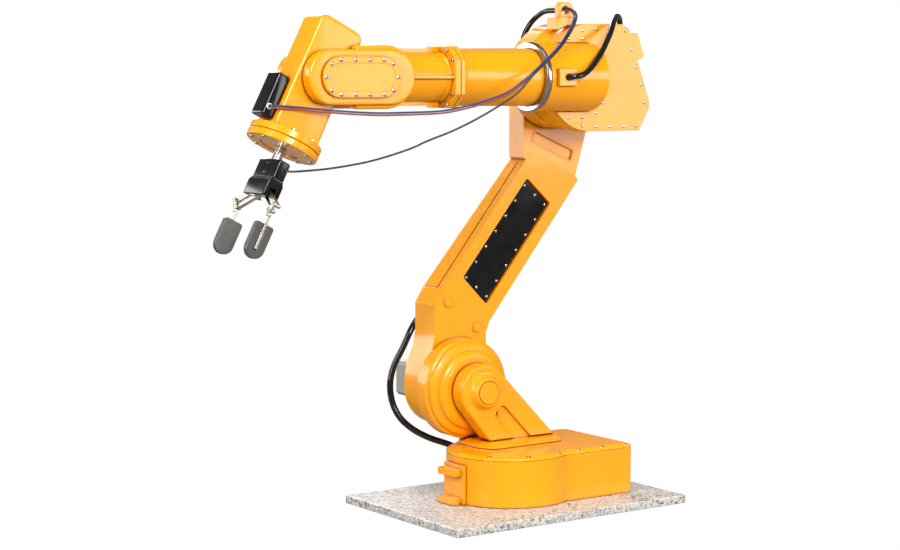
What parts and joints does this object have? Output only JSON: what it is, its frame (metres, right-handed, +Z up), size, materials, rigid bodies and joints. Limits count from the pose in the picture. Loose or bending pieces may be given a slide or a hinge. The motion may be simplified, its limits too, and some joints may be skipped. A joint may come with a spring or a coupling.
{
  "type": "scara robot arm",
  "caption": "Desktop jointed training robot arm on a stone slab: turning base, slanted upper arm, round elbow, tubular forearm, box wrist and a parallel gripper.",
  "frame": {"origin": "underside of the stone slab, under the axis that the base turns on", "axes": "+Z up, +X forward towards the gripper, +Y to the side where the forearm hangs, away from the upper arm"},
  "size_m": [0.6039, 0.289, 0.6115],
  "materials": {
    "granite": "polished",
    "orange_paint": "gloss",
    "yaw_motor_look": "satin",
    "yaw_gearbox_look": "satin",
    "base_gland_look": "matte",
    "hose_shoulder_look": "satin",
    "black_gloss": "gloss",
    "gear_brass": "satin",
    "wire_blue_look": "satin",
    "wire_red_look": "satin",
    "wire_grey_look": "satin",
    "pad_back_near_look": "matte",
    "pad_face_near_look": "matte"
  },
  "bodies": {
    "base": {"base_plate": "granite", "base_housing": "orange_paint", "base_lid": "orange_paint", "front_bracket": "orange_paint", "yaw_motor": "yaw_motor_look", "yaw_gearbox": "yaw_gearbox_look", "yaw_bearing": "yaw_gearbox_look", "base_gland": "base_gland_look"},
    "turret": {"turret_foot": "orange_paint", "turret_leg": "orange_paint", "hub_cap": "orange_paint", "turret_drum": "orange_paint", "shoulder_shaft": "yaw_gearbox_look", "shoulder_bearing": "yaw_gearbox_look", "hose_shoulder": "hose_shoulder_look"},
    "upper_arm_body": {"upper_arm": "orange_paint", "arm_cover": "black_gloss", "shoulder_gearbox": "yaw_gearbox_look", "shoulder_motor": "yaw_motor_look", "arm_gland": "base_gland_look"},
    "elbow": {"elbow_casting": "orange_paint", "cheek_plate": "orange_paint", "cable_lug": "orange_paint", "hose_clip": "orange_paint", "roll_ring": "yaw_gearbox_look", "roll_motor": "yaw_motor_look", "roll_bearing": "yaw_gearbox_look", "elbow_shaft": "yaw_gearbox_look", "elbow_gear": "gear_brass", "hose_elbow": "hose_shoulder_look", "hose_top": "hose_shoulder_look"},
    "forearm": {"forearm_tube": "orange_paint", "wrist_fork": "orange_paint", "wrist_cover_near": "orange_paint", "wrist_cover_far": "orange_paint", "wrist_belt": "hose_shoulder_look", "wrist_motor": "yaw_motor_look", "wire_blue": "wire_blue_look", "wire_red": "wire_red_look"},
    "hand": {"pitch_shaft": "yaw_gearbox_look", "hand_box": "orange_paint", "hand_cap": "orange_paint", "sensor_box": "black_gloss", "tool_motor": "yaw_motor_look", "wire_grey": "wire_grey_look"},
    "tool": {"tool_shaft": "yaw_gearbox_look", "gripper_upper": "black_gloss", "gripper_lower": "black_gloss", "grip_motor": "yaw_motor_look"},
    "link_near_a_body": {"link_near_a": "yaw_gearbox_look"},
    "link_near_b_body": {"link_near_b": "yaw_gearbox_look"},
    "finger_near_body": {"finger_near": "yaw_gearbox_look", "pad_back_near": "pad_back_near_look", "pad_face_near": "pad_face_near_look"},
    "link_far_a_body": {"link_far_a": "yaw_gearbox_look"},
    "link_far_b_body": {"link_far_b": "yaw_gearbox_look"},
    "finger_far_body": {"finger_far": "yaw_gearbox_look", "pad_back_far": "pad_back_near_look", "pad_face_far": "pad_face_near_look"}
  },
  "joints": [
    {"name": "base_yaw", "type": "hinge", "parent": "base", "child": "turret", "pos_m": [0, 0, 0.075], "axis": [0, 0, 1], "range_deg": [-90, 90], "deforming": ["hose_shoulder"]},
    {"name": "shoulder", "type": "hinge", "parent": "turret", "child": "upper_arm_body", "pos_m": [0.03, -0.066, 0.14], "axis": [0, 1, 0], "range_deg": [-30, 45], "deforming": ["hose_shoulder"]},
    {"name": "elbow_pitch", "type": "hinge", "parent": "upper_arm_body", "child": "elbow", "pos_m": [-0.112, -0.066, 0.5215], "axis": [0, -1, 0], "range_deg": [-35, 45], "deforming": ["hose_top"]},
    {"name": "forearm_roll", "type": "hinge", "parent": "elbow", "child": "forearm", "pos_m": [-0.03, 0, 0.52], "axis": [1, 0, 0], "range_deg": [-90, 90], "deforming": ["wire_blue", "wire_red", "wire_grey"]},
    {"name": "wrist_pitch", "type": "hinge", "parent": "forearm", "child": "hand", "pos_m": [0.271, 0, 0.52], "axis": [0, -1, 0], "range_deg": [-55, 28], "deforming": ["wire_blue", "wire_red", "wire_grey"]},
    {"name": "tool_roll", "type": "hinge", "parent": "hand", "child": "tool", "pos_m": [0.32072, 0, 0.43315], "axis": [0.4617, 0, -0.887], "range_deg": [-90, 90], "deforming": ["wire_grey"]},
    {"name": "link_near_a_turn", "type": "hinge", "parent": "tool", "child": "link_near_a_body", "pos_m": [0.34408, 0.006, 0.38893], "axis": [-0.887, 0, -0.4617], "range_deg": [-14, 58]},
    {"name": "link_near_b_turn", "type": "hinge", "parent": "tool", "child": "link_near_b_body", "pos_m": [0.34108, 0.0125, 0.3947], "axis": [-0.887, 0, -0.4617], "range_deg": [-14, 58]},
    {"name": "finger_near_turn", "type": "hinge", "parent": "link_near_a_body", "child": "finger_near_body", "pos_m": [0.35162, 0.03808, 0.37444], "axis": [-0.887, 0, -0.4617], "range_deg": [-58, 14]},
    {"name": "link_far_a_turn", "type": "hinge", "parent": "tool", "child": "link_far_a_body", "pos_m": [0.34408, -0.006, 0.38893], "axis": [0.887, 0, 0.4617], "range_deg": [-14, 58]},
    {"name": "link_far_b_turn", "type": "hinge", "parent": "tool", "child": "link_far_b_body", "pos_m": [0.34108, -0.0125, 0.3947], "axis": [0.887, 0, 0.4617], "range_deg": [-14, 58]},
    {"name": "finger_far_turn", "type": "hinge", "parent": "link_far_a_body", "child": "finger_far_body", "pos_m": [0.35162, -0.03808, 0.37444], "axis": [0.887, 0, 0.4617], "range_deg": [-58, 14]}
  ],
  "couplings": [
    {"joint": "link_near_b_turn", "follows": "link_near_a_turn", "ratio": 1},
    {"joint": "finger_near_turn", "follows": "link_near_a_turn", "ratio": -1},
    {"joint": "link_far_a_turn", "follows": "link_near_a_turn", "ratio": 1},
    {"joint": "link_far_b_turn", "follows": "link_near_a_turn", "ratio": 1},
    {"joint": "finger_far_turn", "follows": "link_near_a_turn", "ratio": -1}
  ]
}
